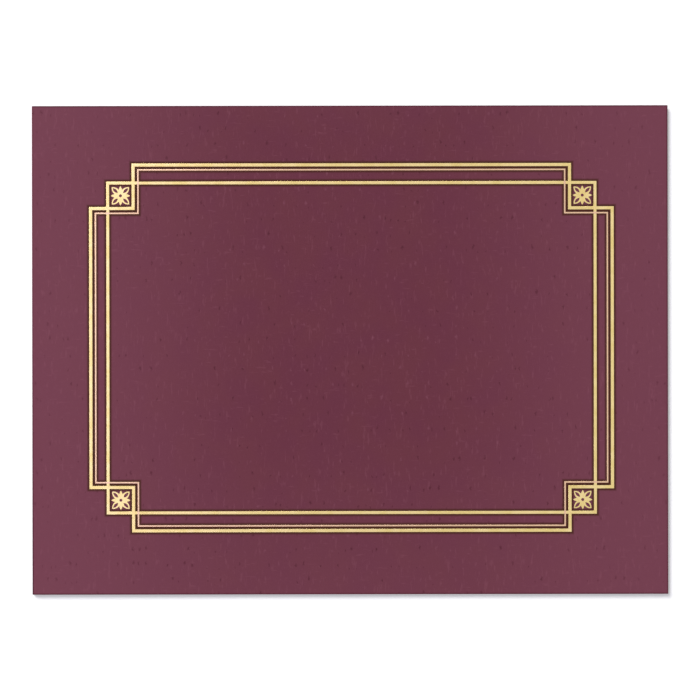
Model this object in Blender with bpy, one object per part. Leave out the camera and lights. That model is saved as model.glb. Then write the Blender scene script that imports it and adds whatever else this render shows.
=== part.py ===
# A certificate holder of folded cover stock, closed and lying face up.
#
# The real holder is one die-cut sheet. It makes the front cover, a narrow spine strip, the back
# cover and a panel that is turned in behind the certificate and glued along three sides. Four
# half-moon tabs cut in that panel hold the certificate's corners. A foil border is pressed into
# the front cover. The sheet is modelled as one piece for each panel between its fold lines.
#
# X runs from the spine to the free edge, Y up the cover and Z out of its face.
# The origin is at the centre of the back cover's outer face.

import math

import bmesh
import bpy

MM = 0.001

# The certificate, and how far the cover reaches past it on each side
CERTIFICATE_WIDTH = 279.4 * MM
CERTIFICATE_HEIGHT = 215.9 * MM
SIDE_MARGIN = 19.05 * MM
TOP_MARGIN = 14.05 * MM

# Stock and folds
STOCK = 0.45 * MM
HEADROOM = 1.15 * MM  # air between the mount panel and the closed front cover
CREASE_GAP = 0.05 * MM  # from a fold line to the edge of each panel that meets it
LAYER_GAP = 0.05 * MM  # between two layers that lie on each other

# Mount panel and its corner tabs
PANEL_TRIM = 1.0 * MM  # how much shorter the turned-in panel is, at each end
PANEL_INSET = 3.0 * MM  # from the back crease to the panel's cut edge
TAB_CHORD = 36.0 * MM  # along the line that a tab bends on
TAB_BULGE = 12.0 * MM  # from that line to the furthest point of the slit
TAB_SETBACK = 8.0 * MM  # from the certificate's corner to that line, along the diagonal
SLIT_WIDTH = 0.3 * MM
TAB_SEGMENTS = 28

# Glue strips
GLUE = 0.2 * MM  # thickness
GLUE_WIDTH = 5.0 * MM
GLUE_MARGIN = 1.0 * MM  # from the mount panel's edges

# Foil border: three lines about one centre, each a closed loop
BORDER_MARGIN_SIDE = 28.55 * MM  # from the cover's edge to the heavy line
BORDER_MARGIN_TOP = 30.7 * MM
BORDER_SHIFT_X = 0.8 * MM  # how far the stamping sits off the cover's centre
BORDER_SHIFT_Y = 1.15 * MM
HEAVY_LINE = 1.6 * MM
FINE_LINE = 0.75 * MM
FRAME_LINE = 1.5 * MM
FINE_SPACING = 2.42 * MM  # heavy line to fine line
FRAME_INSET_SIDE = 8.55 * MM  # heavy line to frame line
FRAME_INSET_TOP = 8.95 * MM
CORNER_SQUARE = 12.7 * MM  # frame line to notch line
FOIL = 0.05 * MM
GROOVE_DEPTH = 0.12 * MM
FOIL_GAP = 0.04 * MM  # round and under the foil in its groove

# Foil ornament: a rosette of eight leaves about an eyelet
LONG_LEAF = 6.1 * MM
LONG_LEAF_WIDTH = 3.0 * MM
SHORT_LEAF = 4.8 * MM
SHORT_LEAF_WIDTH = 1.7 * MM
ROSETTE_HUB = 1.5 * MM  # radius
EYELET = 0.75 * MM  # radius
VEIN_START = 1.9 * MM  # from the rosette's centre
VEIN_LENGTH = 3.5 * MM
VEIN_WIDTH = 1.4 * MM
LEAVES = 8
LEAF_STEPS = 14  # outline points for each leaf
VEIN_STEPS = 6  # outline points for each side of a vein
EYELET_STEPS = 16

# Sizes that follow
COVER_WIDTH = CERTIFICATE_WIDTH + 2 * SIDE_MARGIN
COVER_HEIGHT = CERTIFICATE_HEIGHT + 2 * TOP_MARGIN
RIGHT = COVER_WIDTH / 2
TOP = COVER_HEIGHT / 2
POCKET = GLUE + 2 * LAYER_GAP  # where the certificate's corners go
PANEL_Z = STOCK + POCKET
PANEL_TOP_Z = PANEL_Z + STOCK
COVER_Z = PANEL_TOP_Z + HEADROOM
CLOSED_THICKNESS = COVER_Z + STOCK
CREASE_X = STOCK - RIGHT  # both creases lie on the inner corners of the spine
TURN_RADIUS = PANEL_TOP_Z / 2
TURN_X = RIGHT - TURN_RADIUS
PANEL_LEFT = CREASE_X + PANEL_INSET
PANEL_RIGHT = TURN_X - CREASE_GAP
PANEL_Y = TOP - PANEL_TRIM
TAB_RADIUS = ((TAB_CHORD / 2) ** 2 + TAB_BULGE**2) / (2 * TAB_BULGE)

BURGUNDY = (0.147, 0.038, 0.061)
GOLD = (0.745, 0.545, 0.235)
DRIED_GLUE = (0.80, 0.77, 0.66)

CORNERS = ((1, 1), (-1, 1), (-1, -1), (1, -1))
CUTTER_REACH = 1.0 * MM  # how far a cutter stands out of what it cuts


def collection(name):
    made = bpy.data.collections.new(name)
    bpy.context.scene.collection.children.link(made)
    return made


def material(name, colour, roughness, metallic):
    made = bpy.data.materials.new(name)
    made.use_nodes = True
    shader = made.node_tree.nodes["Principled BSDF"]
    shader.inputs["Base Color"].default_value = (*colour, 1.0)
    shader.inputs["Roughness"].default_value = roughness
    shader.inputs["Metallic"].default_value = metallic
    return made


def add(name, mesh, place, parent, finish, group):
    """Makes an object of a mesh at a place in its parent's space."""
    made = bpy.data.objects.new(name, mesh)
    group.objects.link(made)
    made.parent = parent
    made.location = place
    if finish and not mesh.materials:
        mesh.materials.append(finish)
    return made


def sheet_mesh(name, low, high):
    """A flat cut sheet, as a box between two corners."""
    made = bmesh.new()
    bmesh.ops.create_cube(made, size=1.0)
    for vertex in made.verts:
        for axis in range(3):
            vertex.co[axis] = high[axis] if vertex.co[axis] > 0 else low[axis]
    mesh = bpy.data.meshes.new(name)
    made.to_mesh(mesh)
    made.free()
    return mesh


def outline_mesh(name, outlines, low, high):
    """A plate from height low to height high, with the first outline as its edge and the rest as holes."""
    curve = bpy.data.curves.new(name, "CURVE")
    curve.dimensions = "2D"
    curve.fill_mode = "BOTH"
    curve.extrude = (high - low) / 2
    for outline in outlines:
        spline = curve.splines.new("POLY")
        spline.points.add(len(outline) - 1)
        for point, (x, y) in zip(spline.points, outline):
            point.co = (x, y, 0.0, 1.0)
        spline.use_cyclic_u = True
    holder = bpy.data.objects.new(name, curve)
    bpy.context.scene.collection.objects.link(holder)
    evaluated = holder.evaluated_get(bpy.context.evaluated_depsgraph_get())
    mesh = bpy.data.meshes.new_from_object(evaluated)
    bpy.data.objects.remove(holder)
    bpy.data.curves.remove(curve)
    middle = (low + high) / 2
    made = bmesh.new()
    made.from_mesh(mesh)
    bmesh.ops.remove_doubles(made, verts=made.verts, dist=0.001 * MM)
    for vertex in made.verts:
        vertex.co.z = high if vertex.co.z > 0 else low
    bmesh.ops.recalc_face_normals(made, faces=made.faces)
    made.to_mesh(mesh)
    made.free()
    mesh.name = name
    mesh.materials.clear()
    print(f"{name}: plate {1000 * (high - low):.2f} mm thick about {1000 * middle:.2f} mm")
    return mesh


def boolean(target, other, operation):
    """Adds a Boolean of another object, which becomes a wire guide."""
    modifier = target.modifiers.new(other.name, "BOOLEAN")
    modifier.operation = operation
    modifier.solver = "EXACT"
    modifier.object = other
    other.hide_render = True
    other.display_type = "WIRE"


def half_moon(grow, back):
    """A tab's outline, chord along X and arc towards +Y, with the arc grown and the chord moved back."""
    centre_y = TAB_BULGE - TAB_RADIUS
    radius = TAB_RADIUS + grow
    start = math.asin((-back - centre_y) / radius)
    sweep = math.pi - 2 * start
    points = []
    for step in range(TAB_SEGMENTS + 1):
        angle = start + sweep * step / TAB_SEGMENTS
        points.append((radius * math.cos(angle), centre_y + radius * math.sin(angle)))
    return points


def tab_place(side, end):
    """The middle of a tab's chord and its turn about Z, for the corner at that side and end."""
    inward = TAB_SETBACK / math.sqrt(2)
    x = side * (CERTIFICATE_WIDTH / 2 - inward)
    y = end * (CERTIFICATE_HEIGHT / 2 - inward)
    turn = math.atan2(-end, -side) - math.pi / 2
    return x, y, turn


def rectangle(half_x, half_y):
    return [(half_x, -half_y), (half_x, half_y), (-half_x, half_y), (-half_x, -half_y)]


def notched_rectangle(half_x, half_y, notch_x, notch_y):
    """A rectangle with a square notch in each corner, whose inner corner is at notch_x, notch_y."""
    quarter = [(half_x, notch_y), (notch_x, notch_y), (notch_x, half_y)]
    points = []
    for index, (side, end) in enumerate(CORNERS):
        corner = [(side * x, end * y) for x, y in quarter]
        points += corner if index % 2 == 0 else reversed(corner)
    return points


def border_lines():
    """Each line's name, outline function, half sizes to its middle, and width."""
    heavy_x = COVER_WIDTH / 2 - BORDER_MARGIN_SIDE
    heavy_y = COVER_HEIGHT / 2 - BORDER_MARGIN_TOP
    frame_x = heavy_x - FRAME_INSET_SIDE
    frame_y = heavy_y - FRAME_INSET_TOP
    heavy = (heavy_x, heavy_y, frame_x - CORNER_SQUARE, frame_y - CORNER_SQUARE)
    fine = tuple(size - FINE_SPACING for size in heavy)
    return (
        ("heavy_line", notched_rectangle, heavy, HEAVY_LINE),
        ("fine_line", notched_rectangle, fine, FINE_LINE),
        ("frame_line", rectangle, (frame_x, frame_y), FRAME_LINE),
    )


def line_outlines(outline, sizes, width):
    """The outer and inner edges of a closed line of that width."""
    return [outline(*(size + offset for size in sizes)) for offset in (width / 2, -width / 2)]


def leaf_radius(angle, length, width):
    """How far a pointed leaf that springs from the centre reaches at an angle from its own axis."""
    arc = (length**2 / 4 + width**2 / 4) / width
    opening = math.asin(length / (2 * arc))
    if abs(angle) >= opening:
        return 0.0
    return 2 * arc * math.sin(opening - abs(angle))


def rosette_outlines(grow):
    """The ornament's edge, its four veins and its eyelet, with the foil grown on every side."""
    edge = []
    for step in range(LEAVES * LEAF_STEPS):
        angle = math.tau * step / (LEAVES * LEAF_STEPS)
        reach = ROSETTE_HUB + grow
        for leaf in range(LEAVES):
            off = math.remainder(angle - math.tau * leaf / LEAVES, math.tau)
            length, width = (SHORT_LEAF, SHORT_LEAF_WIDTH) if leaf % 2 == 0 else (LONG_LEAF, LONG_LEAF_WIDTH)
            reach = max(reach, leaf_radius(off, length + 2 * grow, width + 2 * grow))
        edge.append((reach * math.cos(angle), reach * math.sin(angle)))
    outlines = [edge]
    for leaf in range(1, LEAVES, 2):
        direction = math.tau * leaf / LEAVES
        across = []
        for step in range(-VEIN_STEPS, VEIN_STEPS):
            along = step / VEIN_STEPS
            across.append((along, 1 - along**2))
        vein = across + [(-along, along**2 - 1) for along, _ in across]
        points = []
        for along, side in vein:
            x = VEIN_START + VEIN_LENGTH / 2 * (1 + along) - grow * along
            y = side * (VEIN_WIDTH / 2 - grow)
            points.append(
                (
                    x * math.cos(direction) - y * math.sin(direction),
                    x * math.sin(direction) + y * math.cos(direction),
                )
            )
        outlines.append(points)
    turns = [math.tau * step / EYELET_STEPS for step in range(EYELET_STEPS)]
    outlines.append([((EYELET - grow) * math.cos(turn), (EYELET - grow) * math.sin(turn)) for turn in turns])
    return outlines


def make_back(holder, stock, parts):
    mesh = sheet_mesh("back_cover", (CREASE_X + CREASE_GAP, -TOP, 0.0), (TURN_X - CREASE_GAP, TOP, STOCK))
    add("back_cover", mesh, (0, 0, 0), holder, stock, parts)


def make_turned_edge(holder, stock, parts):
    """The sheet's half turn at the free edge, as a strip bent round an arc."""
    steps = 12
    inner = TURN_RADIUS - STOCK
    arc = [math.pi * (step / steps - 0.5) for step in range(steps + 1)]
    section = [(TURN_RADIUS * math.cos(turn), TURN_RADIUS * math.sin(turn)) for turn in arc]
    section += [(inner * math.cos(turn), inner * math.sin(turn)) for turn in reversed(arc)]
    mesh = outline_mesh("turned_edge", [section], -PANEL_Y, PANEL_Y)
    edge = add("turned_edge", mesh, (TURN_X, 0, TURN_RADIUS), holder, stock, parts)
    edge.rotation_euler = (math.pi / 2, 0, 0)


def make_mount_panel(holder, stock, parts, cutters):
    mesh = sheet_mesh("mount_panel", (PANEL_LEFT, -PANEL_Y, 0.0), (PANEL_RIGHT, PANEL_Y, STOCK))
    panel = add("mount_panel", mesh, (0, 0, PANEL_Z), holder, stock, parts)
    slot = outline_mesh("tab_opening", [half_moon(SLIT_WIDTH, CREASE_GAP)], -CUTTER_REACH, STOCK + CUTTER_REACH)
    tab = outline_mesh("corner_tab", [half_moon(0.0, 0.0)], -STOCK, 0.0)
    for number, (side, end) in enumerate(CORNERS, 1):
        x, y, turn = tab_place(side, end)
        opening = add(f"tab_opening_{number}", slot, (x, y, PANEL_Z), holder, None, cutters)
        opening.rotation_euler = (0, 0, turn)
        boolean(panel, opening, "DIFFERENCE")
        flap = add(f"corner_tab_{number}", tab, (x, y, PANEL_TOP_Z), holder, stock, parts)
        flap.rotation_euler = (0, 0, turn)
        print(f"corner_tab_{number} bends about {1000 * x:.3f}, {1000 * y:.3f} mm")


def make_glue(holder, glue, parts):
    left = PANEL_LEFT + GLUE_MARGIN
    right = PANEL_RIGHT - GLUE_MARGIN
    outer = PANEL_Y - GLUE_MARGIN
    inner = outer - GLUE_WIDTH
    low = STOCK + LAYER_GAP
    high = low + GLUE
    strips = {
        "glue_strip_top": ((left, inner, low), (right, outer, high)),
        "glue_strip_bottom": ((left, -outer, low), (right, -inner, high)),
        "glue_strip_spine": ((left, GLUE_MARGIN - inner, low), (left + GLUE_WIDTH, inner - GLUE_MARGIN, high)),
    }
    for name, (start, end) in strips.items():
        add(name, sheet_mesh(name, start, end), (0, 0, 0), holder, glue, parts)


def make_spine(holder, stock, parts):
    """The strip between the two creases, with its origin on the back crease."""
    height = COVER_Z - STOCK
    mesh = sheet_mesh("spine_strip", (-STOCK, -TOP, CREASE_GAP), (0.0, TOP, height - CREASE_GAP))
    return add("spine_strip", mesh, (CREASE_X, 0, STOCK), holder, stock, parts)


def make_front(spine, stock, parts):
    """The front cover, with its origin on the front crease."""
    mesh = sheet_mesh("front_cover", (CREASE_GAP, -TOP, 0.0), (RIGHT - CREASE_X, TOP, STOCK))
    return add("front_cover", mesh, (0, 0, COVER_Z - STOCK), spine, stock, parts)


def make_border(front, foil, parts, cutters):
    """Three lines of one foil film, and the groove that each is pressed into."""
    centre = (BORDER_SHIFT_X - CREASE_X, BORDER_SHIFT_Y, 0)
    floor = STOCK - GROOVE_DEPTH
    low = floor + FOIL_GAP
    border = None
    for name, outline, sizes, width in border_lines():
        groove = outline_mesh(
            f"{name}_groove",
            line_outlines(outline, sizes, width + 2 * FOIL_GAP),
            floor,
            STOCK + CUTTER_REACH,
        )
        cutter = add(f"{name}_groove", groove, centre, front, None, cutters)
        boolean(front, cutter, "DIFFERENCE")
        line = outline_mesh(name, line_outlines(outline, sizes, width), low, low + FOIL)
        if border is None:
            border = add("foil_border", line, centre, front, foil, parts)
        else:
            boolean(border, add(name, line, centre, front, None, cutters), "UNION")


def make_ornaments(front, foil, parts, cutters):
    """A rosette in the middle of each corner square."""
    floor = STOCK - GROOVE_DEPTH
    low = floor + FOIL_GAP
    rosette = outline_mesh("foil_ornament", rosette_outlines(0.0), low, low + FOIL)
    recess = outline_mesh("ornament_recess", rosette_outlines(FOIL_GAP), floor, STOCK + CUTTER_REACH)
    frame_x, frame_y = border_lines()[2][2]
    for number, (side, end) in enumerate(CORNERS, 1):
        x = BORDER_SHIFT_X - CREASE_X + side * (frame_x - CORNER_SQUARE / 2)
        y = BORDER_SHIFT_Y + end * (frame_y - CORNER_SQUARE / 2)
        cutter = add(f"ornament_recess_{number}", recess, (x, y, 0), front, None, cutters)
        boolean(front, cutter, "DIFFERENCE")
        add(f"foil_ornament_{number}", rosette, (x, y, 0), front, foil, parts)


def main():
    for old in list(bpy.data.objects):
        bpy.data.objects.remove(old)
    parts = collection("certificate_holder")
    cutters = collection("cutters")
    stock = material("linen_cover_stock", BURGUNDY, 0.72, 0.0)
    foil = material("gold_foil", GOLD, 0.3, 1.0)
    glue = material("dried_glue", DRIED_GLUE, 0.5, 0.0)
    holder = bpy.data.objects.new("holder", None)
    parts.objects.link(holder)
    make_back(holder, stock, parts)
    make_turned_edge(holder, stock, parts)
    make_mount_panel(holder, stock, parts, cutters)
    make_glue(holder, glue, parts)
    spine = make_spine(holder, stock, parts)
    front = make_front(spine, stock, parts)
    make_border(front, foil, parts, cutters)
    make_ornaments(front, foil, parts, cutters)
    print(f"closed holder {1000 * COVER_WIDTH:.1f} x {1000 * COVER_HEIGHT:.1f} x {1000 * CLOSED_THICKNESS:.2f} mm")
    print(f"creases at x {1000 * CREASE_X:.3f}, z {1000 * STOCK:.3f} and {1000 * COVER_Z:.3f} mm")


main()
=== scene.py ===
# %% [markdown]
# # A certificate holder, seen from straight above
#
# This is a folder of burgundy linen cover stock. It is one die-cut sheet: a front cover, a narrow
# spine strip, a back cover, and a panel turned in behind the certificate. A gold foil border is
# stamped into the front cover. The folder lies closed on a white ground.
#
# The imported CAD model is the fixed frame. Each cell below dresses one piece of it, in metres and in
# the same place, so nothing has to be fitted by eye.

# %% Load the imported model
import math

import bmesh
import bpy
from mathutils import Matrix, Vector


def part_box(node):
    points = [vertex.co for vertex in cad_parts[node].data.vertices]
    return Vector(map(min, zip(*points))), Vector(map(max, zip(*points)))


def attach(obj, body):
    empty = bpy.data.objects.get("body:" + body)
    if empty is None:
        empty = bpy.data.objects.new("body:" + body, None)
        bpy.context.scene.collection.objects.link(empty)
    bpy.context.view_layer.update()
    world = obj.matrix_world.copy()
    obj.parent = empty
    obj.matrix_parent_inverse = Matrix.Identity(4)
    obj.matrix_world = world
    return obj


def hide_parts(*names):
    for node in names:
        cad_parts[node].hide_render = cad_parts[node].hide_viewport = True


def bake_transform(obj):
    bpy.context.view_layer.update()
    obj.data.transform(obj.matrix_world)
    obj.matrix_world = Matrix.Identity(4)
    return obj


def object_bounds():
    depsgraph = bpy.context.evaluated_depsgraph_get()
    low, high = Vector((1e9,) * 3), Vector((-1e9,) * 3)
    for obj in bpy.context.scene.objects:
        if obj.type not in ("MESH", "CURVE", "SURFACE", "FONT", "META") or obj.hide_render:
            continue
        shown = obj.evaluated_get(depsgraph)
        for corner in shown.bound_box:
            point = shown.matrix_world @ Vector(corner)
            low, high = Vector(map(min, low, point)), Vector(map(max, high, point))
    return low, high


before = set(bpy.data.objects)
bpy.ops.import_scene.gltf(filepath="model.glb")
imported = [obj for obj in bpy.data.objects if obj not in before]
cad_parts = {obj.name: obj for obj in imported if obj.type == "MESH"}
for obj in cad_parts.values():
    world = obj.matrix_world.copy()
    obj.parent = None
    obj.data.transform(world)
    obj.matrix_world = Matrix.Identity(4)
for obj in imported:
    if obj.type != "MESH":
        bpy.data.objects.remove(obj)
cad_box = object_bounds()
MM = 0.001
print("the folder measures", [round(1000 * side, 2) for side in cad_box[1] - cad_box[0]], "mm")

# %% [markdown]
# ## The camera
#
# A product photograph taken straight down has almost no perspective. A wide lens close to the folder
# would slant its edges, and an orthographic camera would suit this view alone. A long lens at about a
# metre does both jobs. The width of the view comes from the photograph, in which the folder's 317.5
# mm cover 635.7 of 700 pixels. The last small shift and turn come from laying the render over it.

# %% Place the camera
VIEW_WIDTH = 349.5 * MM
LENS = 100.0  # mm, on a 36 mm sensor
CAMERA_SHIFT = (0.01 * MM, -0.02 * MM)
CAMERA_TURN = -0.09  # degrees
FACE_Z = cad_box[1].z


def placed(name, data):
    """A new object in the scene."""
    made = bpy.data.objects.new(name, data)
    bpy.context.scene.collection.objects.link(made)
    return made


def make_camera():
    """A long lens straight above the cover. Gives its distance from the cover's face."""
    made = placed("camera", bpy.data.cameras.new("camera"))
    made.data.lens = LENS
    made.data.clip_start = 0.01
    distance = VIEW_WIDTH * LENS / made.data.sensor_width
    made.location = (*CAMERA_SHIFT, FACE_Z + distance)
    made.rotation_euler = (0, 0, math.radians(CAMERA_TURN))
    bpy.context.scene.camera = made
    return distance


print("camera height above the cover:", round(make_camera(), 3), "m")

# %% [markdown]
# ## Wiring nodes by name
#
# Shader and geometry trees could be drawn by hand in the editor, but then their numbers can't be read
# or changed here. A script that names every socket is long. These helpers are the middle way: each
# adds one kind of node, fills its inputs with numbers or links, and gives back what comes out of it.


# %% Helpers for single nodes
def node(tree, kind, inputs=None, **settings):
    """Adds a node. An input's value is a number, or another node's output socket."""
    made = tree.nodes.new(kind)
    for name, value in settings.items():
        setattr(made, name, value)
    for key, value in (inputs or {}).items():
        if isinstance(value, bpy.types.NodeSocket):
            tree.links.new(value, made.inputs[key])
        else:
            made.inputs[key].default_value = value
    return made


def calc(tree, operation, *values):
    """A Math node's result."""
    return node(tree, "ShaderNodeMath", dict(enumerate(values)), operation=operation).outputs[0]


def noise(tree, place, scale, detail, **more):
    """A Noise Texture's outputs: its level, and its colour as three levels that differ."""
    inputs = {"Vector": place, "Scale": scale, "Detail": detail, **more}
    return node(tree, "ShaderNodeTexNoise", inputs).outputs


def remap(tree, value, low, high, first=0.0, last=1.0, smooth=False):
    """A Map Range node: low to high becomes first to last, in a straight line or a soft curve."""
    inputs = {"Value": value, "From Min": low, "From Max": high, "To Min": first, "To Max": last}
    curve = "SMOOTHSTEP" if smooth else "LINEAR"
    return node(tree, "ShaderNodeMapRange", inputs, interpolation_type=curve).outputs[0]


def scaled(tree, vector, scale):
    """A vector made longer or shorter."""
    return node(tree, "ShaderNodeVectorMath", {0: vector, "Scale": scale}, operation="SCALE").outputs[0]


def parts_of(tree, place):
    """The X, Y and Z of a place."""
    return node(tree, "ShaderNodeSeparateXYZ", {0: place}).outputs

# %% [markdown]
# ## Node groups with named sockets
#
# An effect that several materials use could be copied into each of them, and would then have to be
# mended in each. A node group is built once, and every material that holds it sets its own values on
# the group's named sockets. Geometry trees use the same kind of sockets for their sizes.

# %% A helper for node groups
FLOAT, VECTOR = "NodeSocketFloat", "NodeSocketVector"
GEOMETRY, MATERIAL = "NodeSocketGeometry", "NodeSocketMaterial"
SHADING, SHAPING = "ShaderNodeTree", "GeometryNodeTree"


def group(name, kind, inputs, outputs):
    """A node group with named sockets, and its input and output nodes."""
    tree = bpy.data.node_groups.new(name, kind)
    for label, socket, value in inputs:
        made = tree.interface.new_socket(label, in_out="INPUT", socket_type=socket)
        if value is not None:
            made.default_value = value
    for label, socket in outputs:
        tree.interface.new_socket(label, in_out="OUTPUT", socket_type=socket)
    return tree, tree.nodes.new("NodeGroupInput"), tree.nodes.new("NodeGroupOutput")

# %% [markdown]
# ## Shared effect: linen embossing
#
# Linen stock isn't woven. A steel roller presses a pattern of short crossed threads into plain
# paper. An image of cloth would do, but its scale is hard to keep true on pieces of many sizes. Here
# each thread is noise that is squeezed across the thread and stretched along it. One set runs up
# the sheet and one runs across.

# %% Two sets of threads
SET_APART = 17.0  # keeps the two sets from sharing their noise


def crossed_threads(tree, place, pitch, length, seed):
    """Two sets of threads at right angles, as levels of noise."""
    found = []
    for across, along in ((place[0], place[1]), (place[1], place[0])):
        shift = seed + SET_APART * len(found)
        where = {
            0: calc(tree, "ADD", calc(tree, "DIVIDE", across, pitch), shift),
            1: calc(tree, "DIVIDE", along, length),
            2: calc(tree, "DIVIDE", place[2], length),
        }
        where = node(tree, "ShaderNodeCombineXYZ", where).outputs[0]
        found.append(noise(tree, where, 1.0, 1.0, Roughness=0.6)[0])
    return found

# %% [markdown]
# ## Fine threads for relief, thick ones for colour
#
# Where two threads cross, the higher one shows, so a smooth maximum of the two sets gives the relief.
# Some threads in linen are slubs: thicker, longer and paler. Raising the relief for them would not
# read from above, so a second, coarser pair of sets is cut off near its top and only tints the paper.
# Both sets that run across lie a little lower, as the photograph's do.

# %% The linen group
WEFT_SINK, SLUB_WEFT_SINK = 0.04, 0.045
THREADS_MEET = 0.08  # how softly one thread goes over another
SLUB_LEVELS = (0.62, 0.74)
SLUB_SEED = 50.0


def linen_group():
    sizes = (("Thread Pitch", 0.45), ("Thread Length", 3.5), ("Slub Width", 1.05), ("Slub Length", 5.5))
    inputs = [("Place", VECTOR, None), *((name, FLOAT, size * MM) for name, size in sizes)]
    tree, start, end = group("linen_emboss", SHADING, inputs, [("Height", FLOAT), ("Slub", FLOAT)])
    size = start.outputs
    place = parts_of(tree, size["Place"])
    warp, weft = crossed_threads(tree, place, size["Thread Pitch"], size["Thread Length"], 0.0)
    height = calc(tree, "SMOOTH_MAX", warp, calc(tree, "SUBTRACT", weft, WEFT_SINK), THREADS_MEET)
    tree.links.new(height, end.inputs["Height"])
    warp, weft = crossed_threads(tree, place, size["Slub Width"], size["Slub Length"], SLUB_SEED)
    thickest = calc(tree, "MAXIMUM", warp, calc(tree, "SUBTRACT", weft, SLUB_WEFT_SINK))
    tree.links.new(remap(tree, thickest, *SLUB_LEVELS), end.inputs["Slub"])
    return tree


LINEN = linen_group()
print("linen embossing has", len(LINEN.nodes), "nodes")

# %% [markdown]
# ## Flecks in the paper
#
# Here and there the roller skips or presses a knot, which leaves a short fleck that is darker or
# paler than the rest. Painting them would fix their number and place. Voronoi cells scatter them one
# to a cell, and each cell's own colour says how big and how dark its fleck is, so most cells have
# almost none. Squeezing the cells makes the flecks upright, and a little noise in their place frays
# their outlines.

# %% Flecks, one to a cell
FRAY_SCALE, FRAY_DETAIL = 700.0, 2.0
FRAY_REACH = 2.2 * MM
FLECK_SLIMNESS = 2.2
FLECK_SPREAD = 1.7  # the higher, the more cells have a fleck that shows
PALE_LOT = 0.62  # a fleck whose lot is above this is pale


def flecks(tree, place, spacing, size):
    """A mask of short flecks, and 0 or 1 for whether each is pale."""
    frayed = noise(tree, place, FRAY_SCALE, FRAY_DETAIL)["Color"]
    wander = scaled(tree, frayed, FRAY_REACH)
    wandered = node(tree, "ShaderNodeVectorMath", {0: place, 1: wander}, operation="ADD").outputs[0]
    squeeze = {"Vector": wandered, "Scale": (FLECK_SLIMNESS, 1.0, 1.0)}
    upright = node(tree, "ShaderNodeMapping", squeeze).outputs[0]
    where = {"Vector": upright, "Scale": calc(tree, "DIVIDE", 1.0, spacing)}
    cells = node(tree, "ShaderNodeTexVoronoi", where, voronoi_dimensions="2D").outputs
    lot = node(tree, "ShaderNodeSeparateColor", {0: cells["Color"]}).outputs
    gap = calc(tree, "MULTIPLY", cells["Distance"], spacing)
    share = calc(tree, "SUBTRACT", calc(tree, "MULTIPLY", lot[1], FLECK_SPREAD), FLECK_SPREAD - 1.0)
    reach = calc(tree, "MULTIPLY", size, calc(tree, "MAXIMUM", share, 0.0001))
    pale = calc(tree, "GREATER_THAN", lot[0], PALE_LOT)
    return remap(tree, gap, 0.0, reach, 1.0, 0.0, smooth=True), pale

# %% [markdown]
# ## Shared effect: the tone of dyed paper
#
# Dyed paper is never one colour. The dye settles in soft clouds, and single fibres take up more or
# less of it. One flat colour looks like plastic, and one noise for everything looks like dirt. So a
# broad noise gives the clouds, a fine one, cut off near its top, gives the fibres, and the flecks
# come on their own.

# %% The tone group
CLOUD_LEVELS, FIBRE_LEVELS = (0.3, 0.7), (0.6, 0.72)


def tone_group():
    sizes = (("Cloud Size", 20.0), ("Fibre Size", 1.1), ("Fleck Spacing", 7.5), ("Fleck Size", 1.8))
    inputs = [("Place", VECTOR, None), *((name, FLOAT, size * MM) for name, size in sizes)]
    masks = [(name, FLOAT) for name in ("Cloud", "Fibre", "Fleck", "Fleck Shade")]
    tree, start, end = group("paper_tone", SHADING, inputs, masks)
    size = start.outputs
    for output, detail, levels in (("Cloud", 3.0, CLOUD_LEVELS), ("Fibre", 2.0, FIBRE_LEVELS)):
        scale = calc(tree, "DIVIDE", 1.0, size[f"{output} Size"])
        level = noise(tree, size["Place"], scale, detail)[0]
        tree.links.new(remap(tree, level, *levels, smooth=True), end.inputs[output])
    fleck, pale = flecks(tree, size["Place"], size["Fleck Spacing"], size["Fleck Size"])
    tree.links.new(fleck, end.inputs["Fleck"])
    tree.links.new(pale, end.inputs["Fleck Shade"])
    return tree


TONE = tone_group()
print("paper tone has", len(TONE.nodes), "nodes")

# %% [markdown]
# ## Shared effect: the band beside an edge or a stamped line
#
# Painted light makes the cover paler towards its sides, and painted shade darkens its rim and a band
# beside each stamped line. Each is a band that follows an outline. It could be painted into an image,
# or stored on a dense mesh. A formula is sharper: a notched rectangle is two crossed rectangles, so
# the nearer of the two distances is the distance to the border.

# %% The band group
BORDER_SIZES = ("Half Width", "Half Height", "Notch X", "Notch Y")


def band_group():
    names = (*BORDER_SIZES, "Inner Reach", "Outer Reach")
    inputs = [("Place", VECTOR, None), *((name, FLOAT, 0.1) for name in names), ("Ragged", FLOAT, 0.0)]
    tree, start, end = group("outline_band", SHADING, inputs, [("Mask", FLOAT)])
    size = start.outputs
    x, y = (calc(tree, "ABSOLUTE", part) for part in parts_of(tree, size["Place"])[:2])
    gaps = []
    for width, height in (("Half Width", "Notch Y"), ("Notch X", "Half Height")):
        side, top = calc(tree, "SUBTRACT", x, size[width]), calc(tree, "SUBTRACT", y, size[height])
        gaps.append(calc(tree, "MAXIMUM", side, top))
    gap = calc(tree, "ABSOLUTE", calc(tree, "MINIMUM", *gaps))
    level = noise(tree, size["Place"], FRAY_SCALE, FRAY_DETAIL)[0]
    shift = calc(tree, "MULTIPLY", calc(tree, "SUBTRACT", level, 0.5), size["Ragged"])
    frayed = calc(tree, "ADD", gap, shift)
    mask = remap(tree, frayed, size["Inner Reach"], size["Outer Reach"], 1.0, 0.0, smooth=True)
    tree.links.new(mask, end.inputs["Mask"])
    return tree


BAND = band_group()
print("outline band has", len(BAND.nodes), "nodes")

# %% [markdown]
# ## Layers of colour in a material
#
# A finish is built up as a dyer or a printer would: one colour over the whole, then tints laid over
# it where a mask says. Each layer is one Mix node. The shared groups give the masks, and the
# Principled BSDF stays in the material itself, where the export can read it.


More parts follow.
